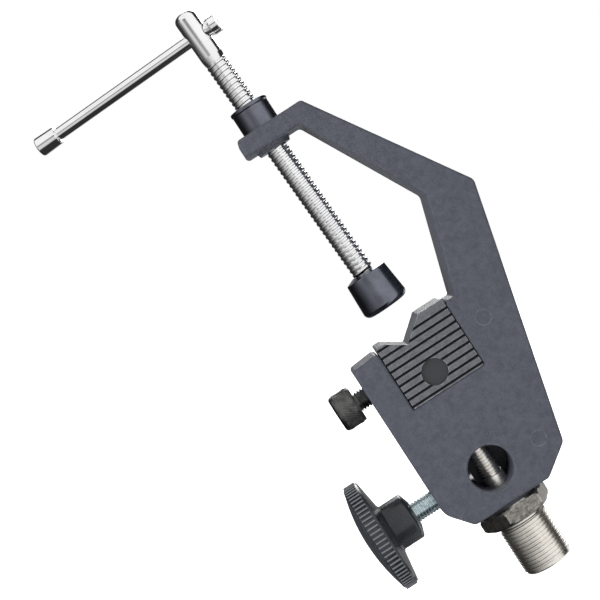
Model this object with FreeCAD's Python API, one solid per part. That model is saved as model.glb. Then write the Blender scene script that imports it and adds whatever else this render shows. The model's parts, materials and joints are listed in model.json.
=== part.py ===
import FreeCAD, Part
import math
import os

from FreeCAD import Placement, Rotation, Vector

# A C-frame super clamp for studio lights. Millimetres throughout.
# The origin is the middle of the spigot socket, at half the frame's thickness.
# +Z runs up the back of the clamp to the upper jaw, +X towards the bow of the arm,
# and the socket's mouth faces -Y.

# ---- the cast frame: an outline of even thickness ----
thickness = 26.0
edge_round = 1.2
base_z = -15.2
jaw_top_z = 155.0
jaw_under_z = 147.5
jaw_end_x = -13.6
back_wall_x = -24.2
back_wall_top_z = 58.7
pocket_rim_z = 59.7
pocket_left_x = -12.4
pocket_right_x = 19.4
pocket_floor_z = 34.15
arm_foot_z = 62.1
jaw_boss_drop = 2.0
jaw_boss_r = 7.6

# ---- the sockets and screws through the frame ----
socket_r = 8.75
socket_depth = 22.0
socket_edge = 0.6
screw_r = 4.0                 # every M8 thread is drawn at its outside diameter
thread_gap = 0.08             # between a male thread and the hole it turns in
insert_r = 5.0
clamp_screw_z = 46.9
knob_z = -0.8                 # the knob's screw meets a spigot just below its middle

# ---- the spindle's own line: it leans a little towards the jaw's open end ----
lean_deg = 2.2
foot = Vector(1.4, 0, 63.8)   # where the spindle's line crosses the top of the lower jaw
spindle_r = 4.4
head_r = 4.5
head_start = 123.8            # heights along the spindle's line, from the foot
head_top = 144.0
cross_hole_h = 133.8
cross_hole_r = 2.8

# ---- the tommy bar through the spindle's head ----
bar_r = 2.45
bar_yaw_deg = 13.0            # its long side turns this far to the back
bar_droop_deg = 0.35          # its long side hangs this far below level
bar_long = 77.0
long_end_length = 9.3
bar_short = 9.75
bar_end_gap = 0.15

# ---- the swivel pad ----
pad_bottom = 7.8
pad_top = 22.6
pad_bottom_r = 9.6
pad_top_r = 8.55
pad_swivel_h = 19.5           # centre of its ball seat
pad_seat_r = 6.0
pad_bore_r = 5.3

# ---- the lower jaw block ----
block_gap = 0.35
block_half_depth = 12.5
block_left_top_z = 61.2
block_right_top_z = 63.7
v_left_x = -9.0
v_bottom = (-1.0, 56.0)
v_right_x = 8.4
groove_pitch = 3.08
groove_count = 9
groove_width = 1.25
groove_depth = 0.8
seat_mark = (2.1, 42.0)
seat_mark_r = 5.2
seat_mark_depth = 1.1

# ---- the hand knob ----
knob_r = 22.75
knob_front_x = -52.2
knob_rear_x = -46.0
knob_dome_x = -55.3
knob_hub_r = 9.5
knob_hub_end_x = -34.8
knob_neck_x = -33.3

# ---- the threaded stud below the frame ----
washer_t = 1.0
hex_across = 26.0
hex_height = 7.0
hex_turn_deg = 9.6
stud_r = 10.0
stud_end_z = -44.7

Z_UP = Vector(0, 0, 1)
Y_OUT = Vector(0, 1, 0)
ORIGIN = Vector(0, 0, 0)
TINY = 0.05


# ---- drawing helpers ----

def corner_arc(before, corner, after, radius):
    """The two ends and the middle of an arc that rounds one corner of an outline."""
    to_before = (before - corner).normalize()
    to_after = (after - corner).normalize()
    half = to_before.getAngle(to_after) / 2
    reach = radius / math.tan(half)
    middle = (to_before + to_after).normalize()
    return (corner + to_before * reach,
            corner + middle * (radius / math.sin(half) - radius),
            corner + to_after * reach)


def outline(corners):
    """A closed wire through corners (point, radius), each rounded by its radius."""
    edges = []
    count = len(corners)
    last = None
    first = None
    for i, (corner, radius) in enumerate(corners):
        before = corners[i - 1][0]
        after = corners[(i + 1) % count][0]
        if radius:
            start, middle, end = corner_arc(before, corner, after, radius)
        else:
            start = end = corner
        if last is None:
            first = start
        else:
            edges.append(Part.makeLine(last, start))
        if radius:
            edges.append(Part.Arc(start, middle, end).toShape())
        last = end
    edges.append(Part.makeLine(last, first))
    return Part.Wire(edges)


def flat_points(pairs):
    """(x, z, radius) triples as corners in the plane Y = 0."""
    return [(Vector(x, 0, z), radius) for x, z, radius in pairs]


def slab(wire, half_depth):
    """A plate with the wire's outline, as thick each side of the plane Y = 0."""
    face = Part.Face(wire)
    plate = face.extrude(Y_OUT * (2 * half_depth))
    plate.translate(Y_OUT * -half_depth)
    return plate


def turned(profile):
    """A solid turned about +Z from (radius, height) points. A third value rounds that corner."""
    corners = []
    for point in profile:
        radius = point[2] if len(point) > 2 else 0
        corners.append((Vector(point[0], 0, point[1]), radius))
    return Part.Face(outline(corners)).revolve(ORIGIN, Z_UP, 360)


def rod(radius, low, high):
    return Part.makeCylinder(radius, high - low, Vector(0, 0, low), Z_UP)


def hexagon(across, low, high, turn_deg=0.0):
    """A hexagonal bar along +Z, across its flats."""
    reach = across / math.sqrt(3)
    points = []
    for k in range(7):
        angle = math.radians(turn_deg + 60 * k)
        points.append(Vector(reach * math.cos(angle), reach * math.sin(angle), low))
    return Part.Face(Part.makePolygon(points)).extrude(Z_UP * (high - low))


def on_spindle(shape):
    """Moves a solid from its own +Z onto the spindle's leaning line."""
    shape.Placement = Placement(foot, Rotation(Y_OUT, -lean_deg)) * shape.Placement
    return shape


def along_x(shape, z):
    """Lays a solid's own +Z along +X, at height z."""
    shape.Placement = Placement(Vector(0, 0, z), Rotation(Y_OUT, 90)) * shape.Placement
    return shape


def save(name, shape):
    shape = shape.removeSplitter()
    assert shape.isValid(), name
    assert all(solid.Volume > 0 for solid in shape.Solids), name
    shape.exportStep(os.path.join("parts", name + ".step"))
    box = shape.BoundBox
    print(f"{name:22s} solids {len(shape.Solids)}  {shape.Volume:9.1f} mm3  "
          f"x {box.XMin:7.2f} {box.XMax:7.2f}  y {box.YMin:7.2f} {box.YMax:7.2f}  "
          f"z {box.ZMin:7.2f} {box.ZMax:7.2f}")


# ---- the frame and what is fixed in it ----

def spindle_x(z):
    """Where the spindle's line is at height z."""
    return foot.x - math.tan(math.radians(lean_deg)) * (z - foot.z)


def frame_body():
    corners = flat_points([
        (back_wall_x, back_wall_top_z, 1.6),
        (pocket_left_x, pocket_rim_z, 1.6),
        (pocket_left_x, pocket_floor_z, 0.6),
        (pocket_right_x, pocket_floor_z, 0.6),
        (pocket_right_x, arm_foot_z, 1.6),
        (23.7, arm_foot_z, 1.0),
        (35.3, 100.0, 3.0),
        (10.4, jaw_under_z, 2.0),
        (jaw_end_x, jaw_under_z, 1.6),
        (jaw_end_x, jaw_top_z, 1.6),
        (15.2, jaw_top_z, 1.6),
        (53.7, 94.8, 3.5),
        (28.6, -6.5, 3.5),
        (16.6, base_z, 3.0),
        (-16.3, base_z, 3.0),
        (back_wall_x, -5.6, 8.0),
    ])
    body = slab(outline(corners), thickness / 2)
    rims = [e for e in body.Edges if abs(abs(e.CenterOfMass.y) - thickness / 2) < TINY]
    return body.makeFillet(edge_round, rims)


def jaw_boss():
    """A short cone under the jaw, round the bush."""
    low = jaw_under_z - jaw_boss_drop
    boss = Part.makeCone(jaw_boss_r - jaw_boss_drop / 2, jaw_boss_r, jaw_boss_drop + 1)
    boss.translate(Vector(spindle_x(jaw_top_z), 0, low))
    return boss


def socket():
    """The blind hole for a light's spigot, with its edge broken."""
    front = -thickness / 2
    hole = Part.makeCylinder(socket_r, socket_depth, Vector(0, front, 0), Y_OUT)
    mouth = Part.makeCone(socket_r + socket_edge, socket_r, socket_edge, Vector(0, front, 0), Y_OUT)
    return hole.fuse(mouth)


def ejector_marks():
    """Shallow discs that the casting's ejector pins leave, on both faces."""
    marks = []
    for x, z in ((21.3, -0.2), (28.5, 49.4)):
        for y in (-thickness / 2, thickness / 2 - 0.2):
            marks.append(Part.makeCylinder(3.0, 0.2, Vector(x, y, z), Y_OUT))
    return marks


def clamp_frame():
    body = frame_body().fuse(jaw_boss())
    bush_hole = rod(6.0, jaw_under_z - 5, jaw_top_z + 1)
    bush_hole.translate(Vector(spindle_x(jaw_top_z), 0, 0))
    knob_hole = along_x(rod(insert_r, back_wall_x - 1, -6.0), knob_z)
    lock_hole = along_x(rod(insert_r, back_wall_x - 1, pocket_left_x + 1), clamp_screw_z)
    stud_hole = rod(4.6, base_z - 1, 0)
    stud_thread = rod(screw_r + thread_gap, 0, 21.5)
    return body.cut([socket(), bush_hole, knob_hole, lock_hole, stud_hole, stud_thread,
                     *ejector_marks()])


def jaw_bush():
    """The threaded bush that the spindle turns in. Its bore leans with the spindle."""
    shoulder = jaw_top_z
    bush = turned([
        (0, jaw_under_z - jaw_boss_drop), (6.0 - TINY, jaw_under_z - jaw_boss_drop),
        (6.0 - TINY, shoulder), (7.55, shoulder), (7.55, 163.4), (7.85, 163.9),
        (7.85, 165.2, 0.5), (0, 165.2),
    ])
    bush.translate(Vector(spindle_x(jaw_top_z), 0, 0))
    bore = on_spindle(rod(spindle_r + thread_gap, 60, 120))
    relief = on_spindle(Part.makeCone(spindle_r, spindle_r + 1.2, 1.4, Vector(0, 0, 100.3), Z_UP))
    return bush.cut([bore, relief])


def thread_insert(outer_end_x, inner_end_x, z):
    sleeve = rod(insert_r - TINY, outer_end_x, inner_end_x)
    return along_x(sleeve.cut(rod(screw_r + thread_gap, outer_end_x - 1, inner_end_x + 1)), z)


def adapter_washer():
    ring = rod(12.4, base_z - washer_t, base_z)
    return ring.cut(rod(4.7, base_z - 2, base_z + 1))


def stud_adapter():
    """One turned piece: hexagon, M20 stud below it, and the M8 shank that crosses the socket."""
    top = base_z - washer_t
    under = top - hex_height
    reach = hex_across / math.sqrt(3)
    blank = turned([
        (0, under), (12.6, under), (reach + 0.3, under + 1.5),
        (reach + 0.3, top - 1.5), (12.6, top), (0, top),
    ])
    nut = hexagon(hex_across, under, top, hex_turn_deg).common(blank)
    stud = turned([
        (0, stud_end_z), (stud_r - 1.1, stud_end_z), (stud_r, stud_end_z + 1.1),
        (stud_r, under + 1), (0, under + 1),
    ])
    shank = turned([
        (0, top - 1), (4.5, top - 1), (4.5, -7.8), (screw_r, -7.3),
        (screw_r, 19.3), (screw_r - 0.8, 20.1), (0, 20.1),
    ])
    return nut.fuse([stud, shank])


# ---- the spindle, the pad and the tommy bar ----

def on_bar(shape):
    """Lays a solid's own +Z along the tommy bar, its zero at the spindle's line."""
    lean = math.radians(lean_deg)
    middle = foot + Vector(-math.sin(lean), 0, math.cos(lean)) * cross_hole_h
    turn = Rotation(Z_UP, -bar_yaw_deg) * Rotation(Y_OUT, 90 - bar_droop_deg)
    shape.Placement = Placement(middle, turn) * shape.Placement
    return shape


def spindle():
    """Thread, plain head with a domed top and a cross hole, and a button end for the pad."""
    body = turned([
        (0, 16.5), (3.7, 16.5, 0.4), (3.7, 18.6), (2.7, 18.6), (2.7, 20.6),
        (spindle_r - 0.6, 20.6), (spindle_r, 21.2), (spindle_r, head_start - 0.8),
        (3.3, head_start - 0.3), (head_r, head_start), (head_r, head_top, 2.6), (0, head_top),
    ])
    return on_spindle(body).cut(on_bar(rod(cross_hole_r, -6, 6)))


def tommy_bar():
    return on_bar(rod(bar_r, -bar_long + 2.5, bar_short - 1.5))


def bar_end_long():
    """The long side's pressed-on knob end, a little wider at its outer end."""
    start = -bar_long
    end = turned([
        (0, start), (3.95, start, 0.6), (3.7, start + long_end_length, 0.5),
        (0, start + long_end_length),
    ])
    return on_bar(end.cut(rod(bar_r + 0.01, start + 2.5, 0)))


def bar_end_short():
    """The short side's collar, which stops the bar at the spindle's head."""
    start = head_r + bar_end_gap
    end = turned([
        (0, start), (3.0, start), (3.3, start + 1.2), (3.6, start + 2.0),
        (3.6, bar_short, 0.5), (0, bar_short),
    ])
    dimple = Part.makeCone(0, 1.5, 1.0, Vector(0, 0, bar_short - 1.0), Z_UP)
    return on_bar(end.cut([rod(bar_r + 0.01, 0, bar_short - 1.5), dimple]))


def pad_dish(radius):
    """A ball round the pad's swivel point."""
    return Part.makeSphere(radius, Vector(0, 0, pad_swivel_h))


def swivel_pad():
    outside = turned([
        (0, pad_bottom), (pad_bottom_r, pad_bottom, 2.4), (pad_top_r, pad_top, 0.5),
        (pad_bore_r, pad_top + 1.2), (0, pad_top + 1.2),
    ])
    seat = pad_dish(pad_seat_r + 0.3).common(rod(pad_bore_r, 0, pad_swivel_h))
    bore = rod(pad_bore_r, 16.5, pad_top + 2)
    groove = rod(6.1, 18.9, 20.1)
    return on_spindle(outside.cut([seat, bore, groove]))


def pad_ball_seat():
    """The hardened button under the spindle's end. Its round back lets the pad tilt."""
    return on_spindle(pad_dish(pad_seat_r).common(rod(4.6, 10, 16.4)))


def pad_retaining_ring():
    """The split ring that holds the pad on the spindle's neck."""
    ring = rod(6.0, 19.0, 20.0).cut(rod(3.15, 18, 21))
    opening = Part.makeBox(8, 4, 3, Vector(2, -2, 18))
    return on_spindle(ring.cut(opening))


# ---- the lower jaw block and its clamp screw ----

def jaw_block():
    left = pocket_left_x + block_gap
    right = pocket_right_x - block_gap
    low = pocket_floor_z + 0.1
    corners = flat_points([
        (left, low, 0.5), (right, low, 0.5), (right, block_right_top_z, 0.8),
        (v_right_x, block_right_top_z, 0.8), (*v_bottom, 0.6),
        (v_left_x, block_left_top_z, 0.6), (left, block_left_top_z, 0.6),
    ])
    block = slab(outline(corners), block_half_depth)
    cuts = []
    for face in (-1, 1):
        outer = face * block_half_depth
        inner = face * (block_half_depth - groove_depth)
        for k in range(groove_count):
            z = low + 1.0 + k * groove_pitch
            groove = Part.makePolygon([
                Vector(left - 1, outer, z - groove_width / 2),
                Vector(left - 1, outer, z + groove_width / 2),
                Vector(left - 1, inner, z),
                Vector(left - 1, outer, z - groove_width / 2),
            ])
            cuts.append(Part.Face(groove).extrude(Vector(right - left + 2, 0, 0)))
        x, z = seat_mark
        depth = min(outer, outer - face * seat_mark_depth)
        cuts.append(Part.makeCylinder(seat_mark_r, seat_mark_depth, Vector(x, depth, z), Y_OUT))
    return block.cut(cuts)


def lock_screw():
    """Socket-head screw that clamps the jaw block sideways."""
    head = turned([(0, -37.9), (7.5, -37.9, 1.0), (7.5, -28.9, 0.8), (0, -28.9)])
    shank = turned([(0, -30), (screw_r, -30), (screw_r, -14.4), (screw_r - 0.7, -13.7), (0, -13.7)])
    key = hexagon(6.0, -39, -32.6)
    pip_hole = rod(1.95, -17.5, -13)
    return along_x(head.fuse(shank).cut([key, pip_hole]), clamp_screw_z)


def pressure_tip(root, shoulder, end, face_r, stem_r=1.85):
    """A plug in the screw's end that doesn't turn against what it presses on."""
    return turned([
        (0, root), (stem_r, root), (stem_r, shoulder), (face_r, shoulder),
        (face_r, end, 0.4), (0, end),
    ])


# ---- the hand knob ----

def knob_grip():
    """Rim and hub, with a recess for the cap and a pocket for the screw's hexagon head."""
    grip = turned([
        (0, knob_front_x), (21.3, knob_front_x, 0.4), (knob_r, -51.2, 0.5), (knob_r, -47.4, 0.5),
        (22.0, knob_rear_x, 0.6), (10.4, -44.3, 0.5), (knob_hub_r, -43.8), (knob_hub_r, knob_hub_end_x, 1.2),
        (5.0, knob_neck_x), (0, knob_neck_x),
    ])
    recess = rod(20.5, knob_front_x - 1, -50.6)
    pocket = hexagon(13.1, -51, -44.6)
    bore = rod(screw_r + 0.02, -46, -30)
    return along_x(grip.cut([recess, pocket, bore]), knob_z)


def knob_cap():
    """Domed cover pressed into the front of the knob."""
    rise = knob_front_x - knob_dome_x
    rim = 20.7
    ball_r = (rim ** 2 + rise ** 2) / (2 * rise)
    ball = Part.makeSphere(ball_r, Vector(0, 0, knob_dome_x + ball_r))
    dome = ball.common(rod(rim, knob_dome_x - 1, knob_front_x - 0.02))
    plug = rod(20.45, knob_front_x - 0.1, -50.65)
    return along_x(dome.fuse(plug), knob_z)


def knob_screw():
    head = hexagon(13.0, -50.5, -44.65)
    shank = turned([(0, -45), (screw_r, -45), (screw_r, -9.5), (screw_r - 0.7, -8.8), (0, -8.8)])
    pip_hole = rod(1.95, -13.0, -8)
    return along_x(head.fuse(shank).cut(pip_hole), knob_z)


def main():
    os.makedirs("parts", exist_ok=True)
    save("clamp_frame", clamp_frame())
    save("jaw_bush", jaw_bush())
    save("lock_thread_insert", thread_insert(back_wall_x + 0.4, pocket_left_x - 0.2, clamp_screw_z))
    save("knob_thread_insert", thread_insert(back_wall_x + 0.4, -10.2, knob_z))
    save("adapter_washer", adapter_washer())
    save("stud_adapter", stud_adapter())
    save("spindle", spindle())
    save("tommy_bar", tommy_bar())
    save("bar_end_long", bar_end_long())
    save("bar_end_short", bar_end_short())
    save("swivel_pad", swivel_pad())
    save("pad_ball_seat", pad_ball_seat())
    save("pad_retaining_ring", pad_retaining_ring())
    save("jaw_block", jaw_block())
    save("lock_screw", lock_screw())
    save("lock_screw_tip", along_x(pressure_tip(-17.0, -13.6, -12.15, 2.8), clamp_screw_z))
    save("knob_grip", knob_grip())
    save("knob_cap", knob_cap())
    save("knob_screw", knob_screw())
    save("knob_screw_tip", along_x(pressure_tip(-12.5, -8.7, -7.0, 3.0), knob_z))


main()
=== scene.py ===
# %% [markdown]
# # A super clamp, finished in Blender
# The CAD model is loaded as a fixed frame: every piece is already in its place, in metres, with +Z
# running up the back of the clamp and the spigot socket's mouth facing -Y. This file gives each
# piece its finish, and rebuilds the few pieces whose real surface is finer than plain CAD: the
# threads, the ribbed knob, the knurled screw head and the ribbed jaw block.

# %% Load the frame
import json
import math

import bmesh
import bpy
from mathutils import Euler, Matrix, Vector


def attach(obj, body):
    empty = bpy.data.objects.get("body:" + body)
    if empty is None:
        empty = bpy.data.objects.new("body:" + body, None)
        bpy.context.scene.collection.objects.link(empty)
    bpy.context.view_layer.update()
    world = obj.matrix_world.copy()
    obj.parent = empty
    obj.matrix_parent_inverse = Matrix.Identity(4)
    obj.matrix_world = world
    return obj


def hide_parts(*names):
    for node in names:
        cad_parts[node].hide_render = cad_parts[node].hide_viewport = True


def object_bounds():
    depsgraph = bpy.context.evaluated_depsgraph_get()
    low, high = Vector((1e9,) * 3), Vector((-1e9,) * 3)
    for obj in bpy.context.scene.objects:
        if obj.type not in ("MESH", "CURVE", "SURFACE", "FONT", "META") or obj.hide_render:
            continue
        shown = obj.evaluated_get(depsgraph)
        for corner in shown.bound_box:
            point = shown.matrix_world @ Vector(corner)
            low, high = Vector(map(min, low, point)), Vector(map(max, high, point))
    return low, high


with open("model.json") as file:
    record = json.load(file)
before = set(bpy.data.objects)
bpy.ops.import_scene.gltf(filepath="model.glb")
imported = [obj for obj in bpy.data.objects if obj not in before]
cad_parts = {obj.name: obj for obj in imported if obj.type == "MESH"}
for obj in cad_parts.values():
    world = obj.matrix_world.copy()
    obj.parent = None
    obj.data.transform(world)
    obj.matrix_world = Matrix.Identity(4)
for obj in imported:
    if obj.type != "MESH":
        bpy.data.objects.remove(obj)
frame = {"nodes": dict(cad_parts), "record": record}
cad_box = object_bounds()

MM = 0.001
scene = bpy.context.scene
slot_of = {part["node"]: part["material_slot"] for part in frame["record"]["subparts"]}
print("nodes:", len(frame["nodes"]), "box:", [[round(c, 4) for c in corner] for corner in cad_box])

# %% [markdown]
# ## Node trees in a few words
# A shader or a geometry tree is the same job each time: make a node, set it, link it. This helper
# does one node in one line, so that the trees below read as a list of steps.

# %% One node in one line
def put(tree, kind, inputs=None, **settings):
    """Adds a node. settings are its own fields; inputs gives values or links to its sockets."""
    node = tree.nodes.new(kind)
    for field, value in settings.items():
        setattr(node, field, value)
    for socket, value in (inputs or {}).items():
        if isinstance(value, bpy.types.NodeSocket):
            tree.links.new(value, node.inputs[socket])
        else:
            node.inputs[socket].default_value = value
    return node


def maths(tree, operation, first, second=0.0, third=None):
    """One step of arithmetic, giving its output socket."""
    values = {0: first, 1: second}
    if third is not None:
        values[2] = third
    return put(tree, "ShaderNodeMath", values, operation=operation).outputs[0]


def ramp_up(tree, value, low, high):
    """0 below low, 1 above high, smooth in between."""
    return put(tree, "ShaderNodeMapRange", {"Value": value, "From Min": low, "From Max": high},
               interpolation_type="SMOOTHSTEP").outputs[0]


MIX_FIRST, MIX_SECOND, MIX_TONE = 6, 7, 2      # the Mix node's colour sockets, by number


def mixed_tone(tree, share, first, second):
    """The tone that lies share of the way from first to second; each is a colour or a link."""
    mix = put(tree, "ShaderNodeMix", {0: share}, data_type="RGBA")
    for socket, tone in ((MIX_FIRST, first), (MIX_SECOND, second)):
        if isinstance(tone, bpy.types.NodeSocket):
            tree.links.new(tone, mix.inputs[socket])
        else:
            mix.inputs[socket].default_value = (*tone, 1.0)
    return mix.outputs[MIX_TONE]


def new_group(name, kind, takes, gives):
    """A node group with named inputs (name, socket type, default) and outputs (name, type)."""
    group = bpy.data.node_groups.new(name, kind)
    for label, socket, default in takes:
        made = group.interface.new_socket(label, in_out="INPUT", socket_type=socket)
        if default is not None:
            made.default_value = default
    for label, socket in gives:
        group.interface.new_socket(label, in_out="OUTPUT", socket_type=socket)
    return group, put(group, "NodeGroupInput"), put(group, "NodeGroupOutput")


# %% [markdown]
# ## Surface effects that several finishes share
# Real metal and paint are never one even colour. Three small effects carry most of it here: the
# cloudy mottling of a casting, the fine rings that a lathe leaves, and a paler line on edges, which
# is partly wear where paint is thin and partly a painted highlight where light catches the edge.
# Each is a group with named sizes, built once and placed where it is needed.

# %% Cloudy mottling
FLOAT = "NodeSocketFloat"
mottling, ins, outs = new_group("mottling", "ShaderNodeTree", [
    ("Cloud size per metre", FLOAT, 120.0), ("Grain size per metre", FLOAT, 1800.0),
    ("Grain share", FLOAT, 0.35)], [("Cloud", FLOAT), ("Grain", FLOAT)])
place = put(mottling, "ShaderNodeTexCoord").outputs["Object"]
cloud = put(mottling, "ShaderNodeTexNoise", {
    "Vector": place, "Scale": ins.outputs["Cloud size per metre"], "Detail": 4.0, "Roughness": 0.6})
grain = put(mottling, "ShaderNodeTexNoise", {
    "Vector": place, "Scale": ins.outputs["Grain size per metre"], "Detail": 2.0})
share = ins.outputs["Grain share"]
cloud_share = maths(mottling, "SUBTRACT", 1.0, share)
blend = maths(mottling, "ADD", maths(mottling, "MULTIPLY", grain.outputs[0], share),
              maths(mottling, "MULTIPLY", cloud.outputs[0], cloud_share))
mottling.links.new(blend, outs.inputs["Cloud"])
mottling.links.new(grain.outputs[0], outs.inputs["Grain"])
print("group:", mottling.name)

# %% Lathe rings along one line
VECTOR = "NodeSocketVector"
lathe_rings, ins, outs = new_group("lathe rings", "ShaderNodeTree", [
    ("Along", VECTOR, (0.0, 0.0, 1.0)), ("Rings per metre", FLOAT, 2600.0)], [("Height", FLOAT)])
place = put(lathe_rings, "ShaderNodeTexCoord").outputs["Object"]
along = put(lathe_rings, "ShaderNodeVectorMath", {0: place, 1: ins.outputs["Along"]},
            operation="DOT_PRODUCT").outputs["Value"]
ring = put(lathe_rings, "ShaderNodeTexNoise", {
    "W": maths(lathe_rings, "MULTIPLY", along, ins.outputs["Rings per metre"]), "Scale": 1.0,
    "Detail": 3.0}, noise_dimensions="1D")
lathe_rings.links.new(ring.outputs[0], outs.inputs["Height"])
print("group:", lathe_rings.name)

# %% Edge wear and painted edge highlight
EDGE_TURN = (0.01, 0.18)       # how far the normal must turn for an edge to start, and be full
PATCH_RANGE = (0.3, 0.7)       # the part of the noise that breaks the edge into patches
worn_edge_and_highlight, ins, outs = new_group("edge wear and highlight", "ShaderNodeTree", [
    ("Width", FLOAT, 0.0008), ("Patchiness per metre", FLOAT, 500.0)], [("Mask", FLOAT)])
rounded = put(worn_edge_and_highlight, "ShaderNodeBevel", {"Radius": ins.outputs["Width"]}, samples=4)
flat = put(worn_edge_and_highlight, "ShaderNodeNewGeometry").outputs["Normal"]
agree = put(worn_edge_and_highlight, "ShaderNodeVectorMath", {0: rounded.outputs[0], 1: flat},
            operation="DOT_PRODUCT").outputs["Value"]
edge = ramp_up(worn_edge_and_highlight, maths(worn_edge_and_highlight, "SUBTRACT", 1.0, agree), *EDGE_TURN)
place = put(worn_edge_and_highlight, "ShaderNodeTexCoord").outputs["Object"]
patch = put(worn_edge_and_highlight, "ShaderNodeTexNoise", {
    "Vector": place, "Scale": ins.outputs["Patchiness per metre"], "Detail": 3.0})
patches = ramp_up(worn_edge_and_highlight, patch.outputs[0], *PATCH_RANGE)
# The mask gives the paler edge line: partly paint wear, partly a painted highlight on the edges.
worn_edge_and_highlight.links.new(maths(worn_edge_and_highlight, "MULTIPLY", edge, patches), outs.inputs["Mask"])
print("group:", worn_edge_and_highlight.name)

# %% [markdown]
# ## The finishes
# Every finish is one shader with the same few steps: two tones mixed by the mottling, a third tone
# on edges that is partly wear and partly a painted highlight, a roughness that wanders a little,
# and a small bump. What differs is how strong each step is. A machined metal takes its bump from
# the lathe rings and a casting from its grain.

# %% A finish from its tones
TONE_RANGE = (0.35, 0.65)      # the part of the mottling over which one tone turns to the other
ROUGH_RANGE = (0.3, 0.7)       # the part of it over which the roughness wanders


def finish(name, dark, light, edge, metallic, rough, bump, clouds=(120.0, 1800.0, 0.35),
           rings=None, edge_width=0.0008, shine=0.5):
    """dark, light and edge are colours; rough is (least, most); bump is a height in metres."""
    material = bpy.data.materials.new(name)
    material.use_nodes = True
    tree = material.node_tree
    shader = tree.nodes["Principled BSDF"]
    shader.inputs["Metallic"].default_value = metallic
    shader.inputs["Specular IOR Level"].default_value = shine
    cloudy = put(tree, "ShaderNodeGroup", node_tree=mottling)
    for socket, value in zip(cloudy.inputs, clouds):
        socket.default_value = value
    edge_wear_and_highlight = put(tree, "ShaderNodeGroup", node_tree=worn_edge_and_highlight)
    edge_wear_and_highlight.inputs["Width"].default_value = edge_width
    two_tone = mixed_tone(tree, ramp_up(tree, cloudy.outputs["Cloud"], *TONE_RANGE), dark, light)
    # The edge tone is partly wear and partly a painted highlight on the edges.
    three_tone = mixed_tone(tree, edge_wear_and_highlight.outputs["Mask"], two_tone, edge)
    tree.links.new(three_tone, shader.inputs["Base Color"])
    wander = put(tree, "ShaderNodeMapRange", {
        "Value": cloudy.outputs["Cloud"], "From Min": ROUGH_RANGE[0], "From Max": ROUGH_RANGE[1],
        "To Min": rough[0], "To Max": rough[1]}).outputs[0]
    tree.links.new(wander, shader.inputs["Roughness"])
    height = cloudy.outputs["Grain"]
    if rings:
        turned_rings = put(tree, "ShaderNodeGroup", node_tree=lathe_rings)
        turned_rings.inputs["Along"].default_value = rings
        height = turned_rings.outputs["Height"]
    dent = put(tree, "ShaderNodeBump", {"Height": height, "Strength": 1.0, "Distance": bump})
    tree.links.new(dent.outputs[0], shader.inputs["Normal"])
    return material


ALONG_X = (1.0, 0.0, 0.0)
ALONG_Z = (0.0, 0.0, 1.0)

# %% Paint, castings and plastics
# The edge tones of the paint and the jaw casting are partly wear and partly a painted highlight on
# the edges.
casting_paint = finish("casting paint", (0.036, 0.039, 0.050), (0.053, 0.057, 0.072),
                       (0.15, 0.155, 0.175), 0.0, (0.40, 0.52), 0.00006, (420.0, 2200.0, 0.45),
                       edge_width=0.0006, shine=0.28)
jaw_casting = finish("jaw casting", (0.050, 0.053, 0.061), (0.084, 0.087, 0.098),
                     (0.19, 0.19, 0.20), 0.0, (0.42, 0.55), 0.00005, (400.0, 2400.0, 0.4),
                     shine=0.3)
knob_plastic = finish("knob plastic", (0.010, 0.011, 0.014), (0.019, 0.021, 0.026),
                      (0.05, 0.05, 0.055), 0.0, (0.20, 0.3), 0.00002, (150.0, 3000.0, 0.5),
                      edge_width=0.0003)
cap_plastic = finish("knob cap plastic", (0.017, 0.018, 0.022), (0.025, 0.027, 0.032),
                     (0.08, 0.08, 0.09), 0.0, (0.42, 0.52), 0.00002, (150.0, 3000.0, 0.5),
                     shine=0.3)

# %% [markdown]
# The tops of the knob's ribs get a paler tone, a painted highlight where the light catches them,
# while the gaps stay dark. The finish finds the tops by how far they lie from the knob's line.

# %% Painted highlight on the rib tops
KNOB_Z = -0.8                  # the height of the knob's line, in millimetres


def retoned(material, share, tone):
    """Mixes another tone over the one that the material already has."""
    tree = material.node_tree
    base = tree.nodes["Principled BSDF"].inputs["Base Color"]
    tree.links.new(mixed_tone(tree, share, base.links[0].from_socket, tone), base)


def paint_rib_top_highlight(material, line_height, low, high, tone):
    """Mixes in a paler tone further than low from a line along X at this height, all in metres."""
    tree = material.node_tree
    place = put(tree, "ShaderNodeTexCoord").outputs["Object"]
    where = put(tree, "ShaderNodeSeparateXYZ", {0: place})
    side = maths(tree, "POWER", where.outputs["Y"], 2.0)
    rise = maths(tree, "POWER", maths(tree, "SUBTRACT", where.outputs["Z"], line_height), 2.0)
    reach = maths(tree, "SQRT", maths(tree, "ADD", side, rise))
    retoned(material, ramp_up(tree, reach, low, high), tone)


# Painted highlight: a paler tone on the rib tops.
paint_rib_top_highlight(knob_plastic, KNOB_Z * MM, 0.02235, 0.02255, (0.085, 0.09, 0.10))

# %% [markdown]
# The jaw block's grooves and its round seat get a darker tone, painted shade where the light
# reaches less far in. The finish finds those places by how far they lie below the block's front and
# back faces, and which way they face.

# %% Painted shade in the jaw block's grooves and seat
BLOCK_FACE = 0.0125            # the block's faces lie this far from its middle, in metres
GROOVE_DEPTH = (0.00004, 0.00042)
SEAT_DEPTH = (0.0009, 0.00105)
SIDEWAYS = (0.2, 0.4)          # how squarely the surface must face front or back


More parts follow.
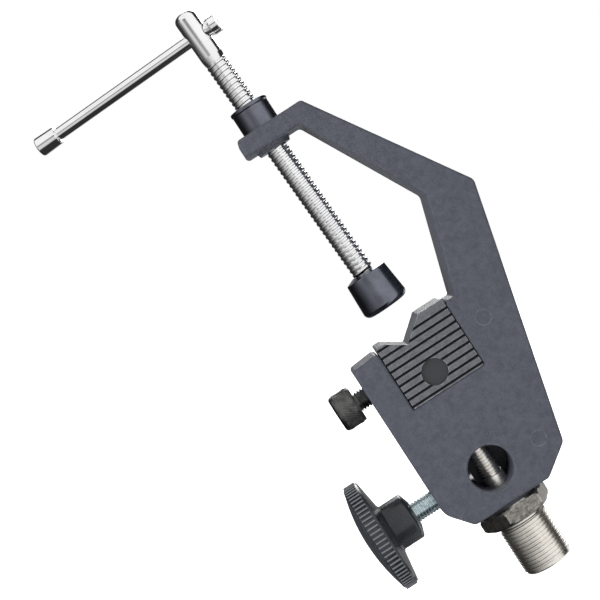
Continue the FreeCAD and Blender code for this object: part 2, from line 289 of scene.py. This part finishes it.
def paint_groove_shade(material, face_depth, groove_shade_tone, seat_shade_tone):
    """Mixes in a dark tone where the surface faces front or back but lies below the face."""
    tree = material.node_tree
    place = put(tree, "ShaderNodeTexCoord").outputs["Object"]
    where = put(tree, "ShaderNodeSeparateXYZ", {0: place}).outputs["Y"]
    normal = put(tree, "ShaderNodeNewGeometry").outputs["Normal"]
    facing = put(tree, "ShaderNodeSeparateXYZ", {0: normal}).outputs["Y"]
    depth = maths(tree, "SUBTRACT", face_depth, maths(tree, "ABSOLUTE", where))
    sunk = ramp_up(tree, depth, *GROOVE_DEPTH)
    sideways = ramp_up(tree, maths(tree, "ABSOLUTE", facing), *SIDEWAYS)
    sunk_shade_tone = mixed_tone(tree, ramp_up(tree, depth, *SEAT_DEPTH), groove_shade_tone, seat_shade_tone)
    # Painted shade: the dark tone mixed into the grooves and the round seat.
    retoned(material, maths(tree, "MULTIPLY", sunk, sideways), sunk_shade_tone)


paint_groove_shade(jaw_casting, BLOCK_FACE, (0.007, 0.007, 0.009), (0.022, 0.023, 0.026))

# %% [markdown]
# The metals differ mostly in how rough they are. Bright plate is nearly a mirror, so it shows the
# room; satin nickel blurs the room to soft bands; and blackened steel is a dark mirror, which is
# why its two tones are dark and its metallic value is still 1.

# %% Metals
blackened = finish("blackened steel", (0.140, 0.146, 0.178), (0.185, 0.193, 0.232),
                   (0.34, 0.34, 0.37), 1.0, (0.20, 0.27), 0.000004, (160.0, 1500.0, 0.2))
screw_black = finish("oiled black screw", (0.062, 0.063, 0.062), (0.105, 0.106, 0.104),
                     (0.22, 0.22, 0.21), 1.0, (0.28, 0.4), 0.00001, (300.0, 1800.0, 0.35))
# Painted shade: the washer's near-black tone stands in for the shade between the foot and the
# hexagon.
washer_painted_shade = finish("washer painted shade", (0.012, 0.013, 0.016), (0.020, 0.021, 0.026),
                     (0.05, 0.05, 0.06), 0.0, (0.5, 0.6), 0.00001, (300.0, 1800.0, 0.35), shine=0.3)
bright_plate = finish("bright plate", (0.84, 0.84, 0.85), (0.93, 0.93, 0.93),
                      (0.96, 0.96, 0.96), 1.0, (0.10, 0.16), 0.000004, (60.0, 900.0, 0.2))
nickel = finish("satin nickel", (0.72, 0.69, 0.635), (0.93, 0.895, 0.84),
                (0.92, 0.90, 0.86), 1.0, (0.22, 0.34), 0.00001, (110.0, 1400.0, 0.3), rings=ALONG_Z)
# The hexagon's near-white edge tone on a wide band is a painted highlight that outlines its edges.
hexagon_nickel = finish("milled nickel", (0.13, 0.123, 0.113), (0.36, 0.343, 0.317),
                        (0.95, 0.93, 0.9), 1.0, (0.3, 0.42), 0.00002, (800.0, 2500.0, 0.4),
                        edge_width=0.0011)
zinc = finish("zinc plate", (0.36, 0.47, 0.51), (0.58, 0.70, 0.73),
              (0.88, 0.9, 0.9), 1.0, (0.18, 0.3), 0.00001, (140.0, 1500.0, 0.3), rings=ALONG_X)
shank_nickel = finish("satin shank", (0.74, 0.71, 0.66), (0.97, 0.95, 0.91),
                      (0.98, 0.96, 0.92), 1.0, (0.26, 0.36), 0.00002, (700.0, 2500.0, 0.4))
turned_steel = finish("turned steel", (0.55, 0.55, 0.56), (0.72, 0.72, 0.73),
                      (0.85, 0.85, 0.86), 1.0, (0.2, 0.32), 0.00001, rings=ALONG_X)
finish_of_slot = {
    "casting_paint": casting_paint, "jaw_casting": jaw_casting, "black_oxide": blackened,
    "bright_plate": bright_plate, "nickel_stud": nickel, "zinc_steel": zinc,
    "insert_steel": turned_steel, "knob_plastic": knob_plastic, "knob_cap_plastic": cap_plastic,
}
print("finishes:", ", ".join(m.name for m in finish_of_slot.values()))

# %% [markdown]
# ## Dress the CAD nodes
# Most pieces have the right shape already. Each gets the finish of its slot in the record. The
# meshes themselves aren't touched. Only the thin washer gets a finish of its own: a near-black
# tone, painted shade, because it sits in the shade between the foot and the hexagon and shows as a
# plain dark line.

# %% Give every node its finish
for node_name, node_object in frame["nodes"].items():
    node_object.data.materials.clear()
    node_object.data.materials.append(finish_of_slot[slot_of[node_name]])
# The washer's near-black finish is painted shade.
frame["nodes"]["adapter_washer"].data.materials[0] = washer_painted_shade
print("dressed:", len(frame["nodes"]))

# %% [markdown]
# ## Turned pieces
# A lathe makes a piece from one outline spun round a line. Here the outline is a list of (radius,
# height) points in millimetres, and a third value rounds that corner. The mesh is built point by
# point, so that each ring has as many sides as its size needs and both ends close in one point.

# %% A new piece from its points
def new_piece(name, corners, faces):
    """A mesh object in the scene, made from its points in metres and its faces."""
    mesh = bpy.data.meshes.new(name)
    mesh.from_pydata(corners, [], faces)
    made = bpy.data.objects.new(name, mesh)
    scene.collection.objects.link(made)
    return made


def keep_plain(piece, modifier):
    """Makes what a modifier shows the piece's own plain mesh, and removes the modifier."""
    seen = piece.evaluated_get(bpy.context.evaluated_depsgraph_get())
    plain = bpy.data.meshes.new_from_object(seen)
    piece.modifiers.remove(modifier)
    old = piece.data
    piece.data = plain
    bpy.data.meshes.remove(old)
    plain.name = piece.name


# %% Round the corners of an outline
def rounded_outline(points, steps=4):
    """The outline with each corner that has a third value turned into a short arc."""
    result = []
    for i, point in enumerate(points):
        here = Vector(point[:2])
        if len(point) < 3:
            result.append(here)
            continue
        back = (Vector(points[i - 1][:2]) - here).normalized()
        on = (Vector(points[i + 1][:2]) - here).normalized()
        half = back.angle(on) / 2
        reach = point[2] / math.tan(half)
        middle = here + (back + on).normalized() * (point[2] / math.sin(half))
        start = here + back * reach - middle
        end = here + on * reach - middle
        for k in range(steps + 1):
            arm = start.lerp(end, k / steps).normalized() * point[2]
            result.append(middle + arm)
    return result


ON_THE_LINE = 1e-6              # a radius below this is one point on the line, not a ring


def spun(name, points, sides=64, steps=4):
    """A closed mesh object turned about +Z. It starts and ends on the line, at radius 0."""
    corners = []
    rings = []
    for radius, height in rounded_outline(points, steps):
        if radius < ON_THE_LINE:
            rings.append([len(corners)])
            corners.append((0.0, 0.0, height * MM))
            continue
        rings.append(list(range(len(corners), len(corners) + sides)))
        for k in range(sides):
            angle = 2 * math.pi * k / sides
            corners.append((radius * MM * math.cos(angle), radius * MM * math.sin(angle),
                            height * MM))
    faces = []
    for low, high in zip(rings, rings[1:]):
        for k in range(sides):
            after = (k + 1) % sides
            if len(low) == 1 and len(high) > 1:
                faces.append((low[0], high[after], high[k]))
            elif len(high) == 1 and len(low) > 1:
                faces.append((low[k], low[after], high[0]))
            elif len(low) > 1:
                faces.append((low[k], low[after], high[after], high[k]))
    return new_piece(name, corners, faces)


# %% [markdown]
# ## Holes
# A hole is cut with a Boolean modifier: a second mesh, the cutter, is taken away from the first.
# The cutter here is a straight bar with as many sides as the hole needs, 48 for a drilled hole and
# 6 for a key socket. The hole is cut before any thread is wound on, while the mesh is one plain
# skin.

# %% Bore a hole
def bored(piece, line, radius, low, high, sides=48):
    """Cuts a straight hole along the line's own Z, between two heights, all in millimetres."""
    rod = spun("cutter", [(0, low), (radius, low), (radius, high), (0, high)], sides=sides)
    rod.data.transform(line)
    cut = piece.modifiers.new("hole", "BOOLEAN")
    cut.operation = "DIFFERENCE"
    cut.solver = "EXACT"
    cut.object = rod
    keep_plain(piece, cut)
    bpy.data.objects.remove(rod)
    print(f"{piece.name}: bored {2 * radius} mm wide, now {len(piece.data.polygons)} faces")


# %% [markdown]
# ## Where the turned pieces lie
# The spindle leans a little towards the open side of the jaws, and its tommy bar turns to the back.
# Each piece is made standing on the origin and then carried, mesh and all, to its own line.

# %% The lines that pieces lie on
LEAN = math.radians(2.2)
FOOT = Vector((1.4, 0.0, 63.8)) * MM
on_spindle = Matrix.Translation(FOOT) @ Matrix.Rotation(-LEAN, 4, "Y")


def along_x(height):
    """The line along +X at this height, in millimetres."""
    return Matrix.Translation((0, 0, height * MM)) @ Matrix.Rotation(math.pi / 2, 4, "Y")


def settle(piece, line, body, slot, *nodes, sharp_deg=32):
    """Puts a finished piece on its line, smooths it, hides the CAD nodes that it stands for, and
    ties it to its body.
    """
    piece.data.transform(line)
    piece.data.shade_smooth()
    piece.data.set_sharp_from_angle(angle=math.radians(sharp_deg))
    if not piece.data.materials:
        piece.data.materials.append(finish_of_slot[slot])
    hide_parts(*nodes)
    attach(piece, body)
    print(f"{piece.name}: {len(piece.data.polygons)} faces, stands for {', '.join(nodes)}")


# %% [markdown]
# ## Threads
# A screw thread is one ridge wound round a core. Geometry Nodes can do just that: a spiral curve,
# a trapezoid swept along it, and a taper at both ends where the ridge runs out. The sizes are
# inputs, so one tree cuts the coarse spindle, the fine stud and all the small screws.

# %% The thread tree
GEOMETRY = "NodeSocketGeometry"
INTEGER = "NodeSocketInt"
RIDGE_OVERLAP = 1.2             # the ridge is this much deeper than it shows, to sink into its core
INWARD_SHIFT = (RIDGE_OVERLAP - 1) / 2
THINNEST = 0.02                 # what is left of the ridge at its two ends
thread_tree, ins, outs = new_group("wound thread", "GeometryNodeTree", [
    ("Geometry", GEOMETRY, None), ("Core radius", FLOAT, 0.0034), ("Crest radius", FLOAT, 0.004),
    ("Pitch", FLOAT, 0.002), ("Turns", FLOAT, 10.0), ("Start height", FLOAT, 0.0),
    ("Root share", FLOAT, 0.8), ("Crest share", FLOAT, 0.3), ("Steps per turn", INTEGER, 32),
    ("Material", "NodeSocketMaterial", None)], [("Geometry", GEOMETRY)])
give = ins.outputs


def product(first, second):
    """Two values of the thread tree multiplied."""
    return maths(thread_tree, "MULTIPLY", first, second)


sink = maths(thread_tree, "SUBTRACT", give["Crest radius"], give["Core radius"])
middle_radius = product(
    maths(thread_tree, "ADD", give["Crest radius"], give["Core radius"]), 0.5)
middle_radius = maths(thread_tree, "SUBTRACT", middle_radius, product(sink, INWARD_SHIFT))
spiral = put(thread_tree, "GeometryNodeCurveSpiral", {
    "Resolution": give["Steps per turn"], "Rotations": give["Turns"],
    "Start Radius": middle_radius, "End Radius": middle_radius,
    "Height": product(give["Turns"], give["Pitch"]), "Reverse": True})
upright = put(thread_tree, "GeometryNodeSetCurveNormal", {"Curve": spiral.outputs[0]})
upright.mode = "Z_UP"
way = put(thread_tree, "GeometryNodeSplineParameter").outputs["Factor"]
both_ends = maths(thread_tree, "MINIMUM", way, maths(thread_tree, "SUBTRACT", 1.0, way))
run_out = product(both_ends, product(give["Turns"], 2.0))      # full after half a turn
run_out = maths(thread_tree, "MAXIMUM", maths(thread_tree, "MINIMUM", run_out, 1.0), THINNEST)
tapered = put(thread_tree, "GeometryNodeSetCurveRadius", {
    "Curve": upright.outputs[0], "Radius": run_out})
ridge_outline = put(thread_tree, "GeometryNodeCurvePrimitiveQuadrilateral", {
    "Height": product(sink, RIDGE_OVERLAP),
    "Bottom Width": product(give["Pitch"], give["Root share"]),
    "Top Width": product(give["Pitch"], give["Crest share"]),
    "Offset": 0.0}, mode="TRAPEZOID")
turn_outline = put(thread_tree, "GeometryNodeTransform", {
    "Geometry": ridge_outline.outputs[0], "Rotation": Euler((0.0, 0.0, math.radians(-90.0)))})
ridge = put(thread_tree, "GeometryNodeCurveToMesh", {
    "Curve": tapered.outputs[0], "Profile Curve": turn_outline.outputs[0], "Fill Caps": True})


def finish_tree(tree, grown, height):
    """Lifts what a tree grew to its height, joins it to the piece, and sets the material."""
    lift = put(tree, "ShaderNodeCombineXYZ", {"Z": height}).outputs[0]
    lifted = put(tree, "GeometryNodeTransform", {"Geometry": grown, "Translation": lift})
    joined = put(tree, "GeometryNodeJoinGeometry")
    tree.links.new(give["Geometry"], joined.inputs[0])
    tree.links.new(lifted.outputs[0], joined.inputs[0])
    real = put(tree, "GeometryNodeRealizeInstances", {"Geometry": joined.outputs[0]})
    dressed = put(tree, "GeometryNodeSetMaterial", {
        "Geometry": real.outputs[0], "Material": give["Material"]})
    tree.links.new(dressed.outputs[0], outs.inputs["Geometry"])
    print("tree:", tree.name, "with", len(tree.nodes), "nodes")


finish_tree(thread_tree, ridge.outputs[0], give["Start height"])


# %% Run a tree on a piece and keep the plain mesh
def grow(piece, tree, **values):
    """Runs a Geometry Nodes tree on the piece and turns what it makes into the piece's own mesh."""
    modifier = piece.modifiers.new(tree.name, "NODES")
    modifier.node_group = tree
    key_of = {item.name: item.identifier for item in tree.interface.items_tree
              if item.item_type == "SOCKET" and item.in_out == "INPUT"}
    for label, value in values.items():
        modifier[key_of[label.replace("_", " ")]] = value
    keep_plain(piece, modifier)


def wind(piece, core, crest, pitch, low, high, metal, root=0.8, top=0.3, steps=32):
    """Winds a thread on a turned piece between two heights, all in millimetres."""
    grow(piece, thread_tree, Core_radius=core * MM, Crest_radius=crest * MM, Pitch=pitch * MM,
         Turns=(high - low) / pitch, Start_height=low * MM, Root_share=root, Crest_share=top,
         Steps_per_turn=steps, Material=metal)


# %% [markdown]
# ## The spindle
# The long screw that closes the clamp: a trapezoid thread 9 mm across with a 2 mm pitch, a plain
# head with a soft dome, a hole for the tommy bar, and a button end that the pad hangs on. The hole
# runs along the bar's own line, which is turned to the back and droops a little.

# %% Turn and thread the spindle
CORE, CREST, HEAD = 4.05, 4.38, 4.5            # radii, in millimetres
HOLE_HEIGHT = 133.8
BAR_YAW_DEG, BAR_DROOP_DEG = 13, 0.35
spindle = spun("spindle_threaded", [
    (0, 16.5), (3.7, 16.5, 0.4), (3.7, 18.6), (2.7, 18.6), (2.7, 20.6), (3.8, 20.8),
    (CORE, 21.2), (CORE, 122.0), (CORE, 122.3), (4.37, 123.1), (HEAD, 124.3), (HEAD, 124.6),
    (HEAD, 141.0), (HEAD, 144, 2.6), (0, 144)], sides=48, steps=6)
hole_line = on_spindle @ Matrix.Translation((0, 0, HOLE_HEIGHT * MM))
on_bar = (Matrix.Translation(hole_line.translation)
          @ Matrix.Rotation(math.radians(-BAR_YAW_DEG), 4, "Z")
          @ Matrix.Rotation(math.radians(90 - BAR_DROOP_DEG), 4, "Y"))
bored(spindle, on_spindle.inverted() @ on_bar, 2.8, -6, 6)
wind(spindle, CORE, CREST, 2.0, 21.6, 122.6, bright_plate, root=0.8, top=0.36)
settle(spindle, on_spindle, "spindle", "bright_plate", "spindle")

# %% [markdown]
# ## The stud adapter
# One turned piece: a hexagon that a spanner fits, a 20 mm stud with a fine 1.5 mm thread below it,
# and a slim shank above it that crosses the spigot socket. The hexagon's corners are turned off at
# top and bottom, which leaves the curved chamfers that every nut has.

# %% The hexagon with its turned-off corners
CORNER_SPARE = 0.3              # the turning cone starts this far outside the corners
CONE_SHARE = 0.97               # at the ends it is this share of the width across the flats
HEXAGON_ROWS = 9


def hexagon_nut(name, across, low, high, chamfer, turn_deg, sides=96):
    """A hexagonal bar whose corners are turned to a cone at both ends. Sizes in millimetres."""
    widest = across / math.sqrt(3) + CORNER_SPARE
    points = []
    for row in range(HEXAGON_ROWS):
        height = low + (high - low) * row / (HEXAGON_ROWS - 1)
        inset = max(0.0, chamfer - min(height - low, high - height))
        cone = widest - inset * (widest - across * CONE_SHARE / 2) / chamfer
        for k in range(sides):
            angle = 2 * math.pi * k / sides
            off_flat = (angle + math.pi / 6) % (math.pi / 3) - math.pi / 6
            radius = min((across / 2) / math.cos(off_flat), cone) * MM
            spin = angle + math.radians(turn_deg + 30)
            points.append((radius * math.cos(spin), radius * math.sin(spin), height * MM))
    faces = [tuple(reversed(range(sides))),
             tuple(range((HEXAGON_ROWS - 1) * sides, HEXAGON_ROWS * sides))]
    for row in range(HEXAGON_ROWS - 1):
        for k in range(sides):
            after = (k + 1) % sides
            faces.append((row * sides + k, row * sides + after,
                          (row + 1) * sides + after, (row + 1) * sides + k))
    return new_piece(name, points, faces)


def join_into(piece, *others):
    """Adds other pieces' meshes to a piece's own, and removes them."""
    with bpy.context.temp_override(active_object=piece, object=piece,
                                   selected_editable_objects=[piece, *others]):
        bpy.ops.object.join()


# %% Stud, hexagon and shank in one piece
stud = spun("stud_adapter_threaded", [
    (0, -44.7), (8.9, -44.7), (9.4, -44.2), (9.4, -25.0), (9.0, -24.6), (9.0, -22.9),
    (0, -22.9)], sides=72)
wind(stud, 9.4, 9.95, 1.5, -43.5, -25.3, nickel, root=0.84, top=0.36, steps=72)
shank = spun("shank", [
    (0, -17), (4.5, -17), (4.5, -7.8), (4.35, -7.6), (4.35, -4.7, 0.2), (3.55, -4.4),
    (3.55, 19.4), (2.9, 20.1), (0, 20.1)], sides=40)
wind(shank, 3.55, 3.96, 1.25, -4.0, 19.4, shank_nickel, root=0.85, top=0.35)
nut = hexagon_nut("nut", 26.0, -23.2, -16.2, 1.5, 9.6)
nut.data.materials.append(hexagon_nickel)
join_into(stud, shank, nut)
settle(stud, Matrix.Identity(4), "frame", "nickel_stud", "stud_adapter")

# %% [markdown]
# ## Ribs round a rim
# The knob's rim has a fine rib every 5 degrees, and the screw's head is knurled. Both are one small
# bar repeated round a circle, so one tree does both: the points of a circle, a bar on each, turned
# to face outwards and, for the knurl, tipped over.

# %% The rib tree
rib_tree, ins, outs = new_group("ribs round a rim", "GeometryNodeTree", [
    ("Geometry", GEOMETRY, None), ("Count", INTEGER, 72), ("Rim radius", FLOAT, 0.02),
    ("Rib width", FLOAT, 0.001), ("Rib height", FLOAT, 0.0005), ("Rib length", FLOAT, 0.005),
    ("Middle height", FLOAT, 0.0), ("Tilt", FLOAT, 0.0), ("Material", "NodeSocketMaterial", None)],
    [("Geometry", GEOMETRY)])
give = ins.outputs
rim = put(rib_tree, "GeometryNodeMeshCircle", {
    "Vertices": give["Count"], "Radius": give["Rim radius"]})
bar = put(rib_tree, "GeometryNodeMeshCylinder", {"Vertices": 10, "Radius": 1.0, "Depth": 1.0})
bar_size = put(rib_tree, "ShaderNodeCombineXYZ", {
    "X": give["Rib height"], "Y": maths(rib_tree, "MULTIPLY", give["Rib width"], 0.5),
    "Z": give["Rib length"]})
rib = put(rib_tree, "GeometryNodeTransform", {
    "Geometry": bar.outputs[0], "Scale": bar_size.outputs[0]})
number = put(rib_tree, "GeometryNodeInputIndex").outputs[0]
whole_turn = maths(rib_tree, "MULTIPLY", number, 2 * math.pi)
stance = put(rib_tree, "ShaderNodeCombineXYZ", {
    "X": give["Tilt"], "Z": maths(rib_tree, "DIVIDE", whole_turn, give["Count"])})
ribs = put(rib_tree, "GeometryNodeInstanceOnPoints", {
    "Points": rim.outputs[0], "Instance": rib.outputs[0], "Rotation": stance.outputs[0]})
finish_tree(rib_tree, ribs.outputs[0], give["Middle height"])

# %% [markdown]
# ## The hand knob
# A moulded rim with 72 ribs, a plain shoulder each side of them, and a long hub. Its heights run
# along the screw's line, from the front at -52 to the neck at -33.

# %% Mould the knob
knob = spun("knob_ribbed", [
    (0, -50.6), (20.45, -50.6), (20.5, -52.1), (21.3, -52.2, 0.3), (22.1, -51.5, 0.4),
    (21.9, -51.0), (21.9, -47.4), (22.2, -47.0), (21.8, -46.0, 0.5), (10.4, -44.3, 0.5),
    (9.5, -43.8), (9.5, -34.8, 1.2), (5.0, -33.3), (0, -33.3)], sides=144)
grow(knob, rib_tree, Count=72, Rim_radius=21.95 * MM, Rib_width=1.05 * MM, Rib_height=0.76 * MM,
     Rib_length=4.6 * MM, Middle_height=-49.2 * MM, Material=knob_plastic)
settle(knob, along_x(KNOB_Z), "knob", "knob_plastic", "knob_grip")

# %% The knob's screw
knob_screw = spun("knob_screw_threaded", [
    (0, -44.9), (3.65, -44.9), (3.65, -9.8), (2.9, -8.9), (1.95, -8.9),
    (1.95, -13.0), (0, -13.0)], sides=40)
wind(knob_screw, 3.65, 3.96, 1.25, -44.0, -9.4, zinc, root=0.85, top=0.4)
knob_nut = hexagon_nut("knob_nut", 13.0, -50.45, -44.7, 0.8, 0.0, sides=48)
knob_nut.data.materials.append(zinc)
join_into(knob_screw, knob_nut)
settle(knob_screw, along_x(KNOB_Z), "knob", "zinc_steel", "knob_screw")

# %% [markdown]
# ## The lock screw
# A socket-head screw, blackened, with a knurled head. Two sets of fine ribs tipped opposite ways
# make the diamond pattern. Its key socket is a six-sided hole bored into the end.

# %% Turn, knurl and thread the lock screw
LOCK_Z = 46.9
KNURL_TILT_DEG = 30
lock = spun("lock_screw_knurled", [
    (0, -37.9), (6.5, -37.9, 0.5), (7.35, -37.2, 0.4), (7.35, -29.5, 0.3), (7.1, -28.9),
    (3.35, -28.9), (3.35, -14.4), (2.9, -13.8), (1.95, -13.8), (1.95, -17.5), (0, -17.5)], sides=72)
bored(lock, Matrix.Identity(4), 3.46, -39, -32.6, sides=6)
wind(lock, 3.35, 3.98, 1.25, -28.4, -14.2, screw_black, root=0.85, top=0.2)
for tilt in (-KNURL_TILT_DEG, KNURL_TILT_DEG):
    grow(lock, rib_tree, Count=44, Rim_radius=7.3 * MM, Rib_width=0.55 * MM,
         Rib_height=0.17 * MM, Rib_length=6.6 * MM, Middle_height=-33.3 * MM,
         Tilt=math.radians(tilt), Material=screw_black)
settle(lock, along_x(LOCK_Z), "lock_screw", "black_oxide", "lock_screw")

# %% [markdown]
# ## The jaw block
# A small casting with ribs along both faces. Its edges are soft because a mould can't make a sharp
# one. A copy of the CAD mesh gets its doubled points merged and its flat triangles joined, and
# then a Bevel modifier rounds what is left.

# %% Soften the block's edges
SAME_POINT = 1e-6               # metres: closer points than this are one point
FLAT_DEG = 1                    # triangles that meet flatter than this are one face


def softened(name, node, width, segments, sharp_deg=25):
    """A copy of a CAD node with its edges rounded, width in millimetres."""
    mesh = frame["nodes"][node].data.copy()
    work = bmesh.new()
    work.from_mesh(mesh)
    bmesh.ops.remove_doubles(work, verts=work.verts, dist=SAME_POINT)
    bmesh.ops.dissolve_limit(work, angle_limit=math.radians(FLAT_DEG), verts=work.verts,
                             edges=work.edges)
    work.to_mesh(mesh)
    work.free()
    made = bpy.data.objects.new(name, mesh)
    scene.collection.objects.link(made)
    bevel = made.modifiers.new("soft edges", "BEVEL")
    bevel.width = width * MM
    bevel.segments = segments
    bevel.limit_method = "ANGLE"
    bevel.angle_limit = math.radians(sharp_deg)
    keep_plain(made, bevel)
    return made


block = softened("jaw_block_soft", "jaw_block", 0.32, segments=3)
settle(block, Matrix.Identity(4), "jaw_block", "jaw_casting", "jaw_block")

# %% [markdown]
# ## The floor and the light
# The clamp stands on its stud on a plain white floor, in a tent of soft light. Bright metal shows
# nothing but what is round it, so the tent is drawn for the metal: one broad box that grows from
# dim on the left to full on the right and then stops short, with a darker and a brighter line
# high up on it, a low box and a dim strip behind, and a box overhead. What stays dark between them
# draws the dark lines on the metal. The camera itself sees plain white.

# %% A white floor
FLOOR_SIZE, FLOOR_GAP = 3.0, 0.0002             # metres; the gap keeps it just clear of the stud
FLOOR_TONE, FLOOR_GLOW = 0.9, 0.7
bpy.ops.mesh.primitive_plane_add(size=FLOOR_SIZE, location=(0, 0, cad_box[0][2] - FLOOR_GAP))
floor = bpy.context.object
floor.name = "floor"
floor_paint = bpy.data.materials.new("floor paint")
floor_paint.use_nodes = True
floor_shader = floor_paint.node_tree.nodes["Principled BSDF"]
floor_shader.inputs["Base Color"].default_value = (FLOOR_TONE, FLOOR_TONE, FLOOR_TONE, 1)
floor_shader.inputs["Roughness"].default_value = 0.9
floor_shader.inputs["Emission Color"].default_value = (1, 1, 1, 1)
floor_shader.inputs["Emission Strength"].default_value = FLOOR_GLOW
floor.data.materials.append(floor_paint)
floor.visible_glossy = False

# %% [markdown]
# ## The tent
# The tent is a World tree. Its directions are in degrees round the clamp: 0 is the camera's side
# and the right is positive. Its heights are those of the direction: 0 is level, 1 is straight up.

# %% Masks for a range of directions
world = bpy.data.worlds.new("light tent")
scene.world = world
world.use_nodes = True
sky = world.node_tree
sky.nodes.clear()
look = put(sky, "ShaderNodeTexCoord").outputs["Generated"]
split = put(sky, "ShaderNodeSeparateXYZ", {0: look})
height = split.outputs["Z"]


def times(first, second):
    """Two values of the tent multiplied."""
    return maths(sky, "MULTIPLY", first, second)


def plus(first, second):
    """Two values of the tent added."""
    return maths(sky, "ADD", first, second)


def without(mask):
    """The mask turned round: 1 where it was 0."""
    return maths(sky, "SUBTRACT", 1.0, mask)


around = maths(sky, "ARCTAN2", split.outputs["X"], times(split.outputs["Y"], -1.0))


def between(low_deg, high_deg, soft_deg=7):
    """1 inside this range of directions round the clamp, 0 outside it."""
    soft = math.radians(soft_deg)
    rise = ramp_up(sky, around, math.radians(low_deg) - soft, math.radians(low_deg) + soft)
    fall = ramp_up(sky, around, math.radians(high_deg) - soft, math.radians(high_deg) + soft)
    return times(rise, without(fall))


high_up = ramp_up(sky, height, 0.08, 0.13)      # 1 from a little above level

# %% The broad box and its two lines
ALL_THE_LEFT = -180
BOX_DARK, BOX_FULL = -112, 24
BOX_END_LOW, BOX_END_HIGH = 74, 90
DARK_LINE_DEPTH, LEFT_LINE_GLOW = 0.8, 0.4
fade_in = ramp_up(sky, around, math.radians(BOX_DARK), math.radians(BOX_FULL))
edge_low = between(ALL_THE_LEFT, BOX_END_LOW, 5)
edge_high = between(ALL_THE_LEFT, BOX_END_HIGH, 5)
fade_out = plus(times(edge_high, high_up), times(edge_low, without(high_up)))
dark_line = times(between(-32, -4), times(high_up, DARK_LINE_DEPTH))
left_line = times(between(-66, -38), times(high_up, LEFT_LINE_GLOW))
big_box = plus(times(times(fade_in, fade_out), without(dark_line)), left_line)

# %% The other boxes
OVERHEAD_WAY = (0.0, -0.45, 0.89)
OVERHEAD_GLOW, BACK_GLOW, LOW_GLOW, ROOM_GLOW = 0.95, 0.35, 1.4, 0.03
right_side = ramp_up(sky, around, math.radians(8), math.radians(30))
above_floor = maths(sky, "MAXIMUM", ramp_up(sky, height, -0.6, -0.4), right_side)
to_top = put(sky, "ShaderNodeVectorMath", {0: look, 1: OVERHEAD_WAY},
             operation="DOT_PRODUCT").outputs["Value"]
overhead = times(ramp_up(sky, to_top, 0.60, 0.74), OVERHEAD_GLOW)
behind = ramp_up(sky, maths(sky, "ABSOLUTE", around), math.radians(158), math.radians(166))
low_behind = without(ramp_up(sky, height, 0.45, 0.65))
back_box = times(times(behind, low_behind), BACK_GLOW)
under_level = maths(sky, "SUBTRACT", LOW_GLOW, times(ramp_up(sky, height, -0.2, -0.1), LOW_GLOW))
low_box = times(between(126, 152, 5), under_level)
boxes = plus(plus(big_box, low_box), back_box)
tent = plus(maths(sky, "MAXIMUM", times(boxes, above_floor), overhead), ROOM_GLOW)

# %% White for the camera, the tent for the metal
eye = put(sky, "ShaderNodeLightPath").outputs["Is Camera Ray"]
lit = put(sky, "ShaderNodeBackground", {"Color": (1.0, 1.0, 1.0, 1.0), "Strength": tent})
white = put(sky, "ShaderNodeBackground", {"Color": (1.0, 1.0, 1.0, 1.0), "Strength": 1.0})
either = put(sky, "ShaderNodeMixShader", {0: eye, 1: lit.outputs[0], 2: white.outputs[0]})
put(sky, "ShaderNodeOutputWorld", {"Surface": either.outputs[0]})
print("tent:", len(sky.nodes), "nodes")


# %% Two soft boxes
def soft_box(name, place, aim, size, power, mirrored=True):
    """A square area light that looks at a point. mirrored says if bright metal shows it."""
    lamp = bpy.data.lights.new(name, "AREA")
    lamp.shape = "SQUARE"
    lamp.size = size
    lamp.energy = power
    box = bpy.data.objects.new(name, lamp)
    box.location = place
    box.rotation_euler = (Vector(aim) - Vector(place)).to_track_quat("-Z", "Y").to_euler()
    box.visible_glossy = mirrored
    scene.collection.objects.link(box)


soft_box("left box", place=(-0.65, -0.5, 0.5), aim=(-0.03, 0, 0.02), size=0.45, power=10.5,
         mirrored=False)
soft_box("back box", place=(0.3, 0.9, 0.6), aim=(0, 0, 0.07), size=0.6, power=6.0)

# %% [markdown]
# ## The camera
# It stands in front of the open side of the clamp, a little above its middle, and is rolled so that
# the clamp leans to the left. A long lens keeps the sides of the clamp nearly parallel.

# %% Place the camera
ROLL = math.radians(33)
CAMERA_X, CAMERA_AWAY = -0.02574, 0.620         # metres
CAMERA_HEIGHT, AIM_HEIGHT = 0.10922, 0.09192
SENSOR_MM, LENS_MM = 36.0, 97.24
eye_point = Vector((CAMERA_X, -CAMERA_AWAY, CAMERA_HEIGHT))
aim_point = Vector((CAMERA_X, 0.0, AIM_HEIGHT))
ahead = (aim_point - eye_point).normalized()
right = ahead.cross(Vector((math.sin(ROLL), 0, math.cos(ROLL)))).normalized()
upward = right.cross(ahead)
lens = bpy.data.cameras.new("camera")
lens.sensor_width = SENSOR_MM
lens.lens = LENS_MM
camera = bpy.data.objects.new("camera", lens)
camera.matrix_world = Matrix((
    (right.x, upward.x, -ahead.x, eye_point.x), (right.y, upward.y, -ahead.y, eye_point.y),
    (right.z, upward.z, -ahead.z, eye_point.z), (0, 0, 0, 1)))
scene.collection.objects.link(camera)
scene.camera = camera
scene.view_settings.view_transform = "Standard"

# %% [markdown]
# ## The CAD box
# The CAD box, measured when the model was loaded, is printed once more.

# %% Print the CAD box
print("cad box:", [[round(c, 4) for c in corner] for corner in cad_box])
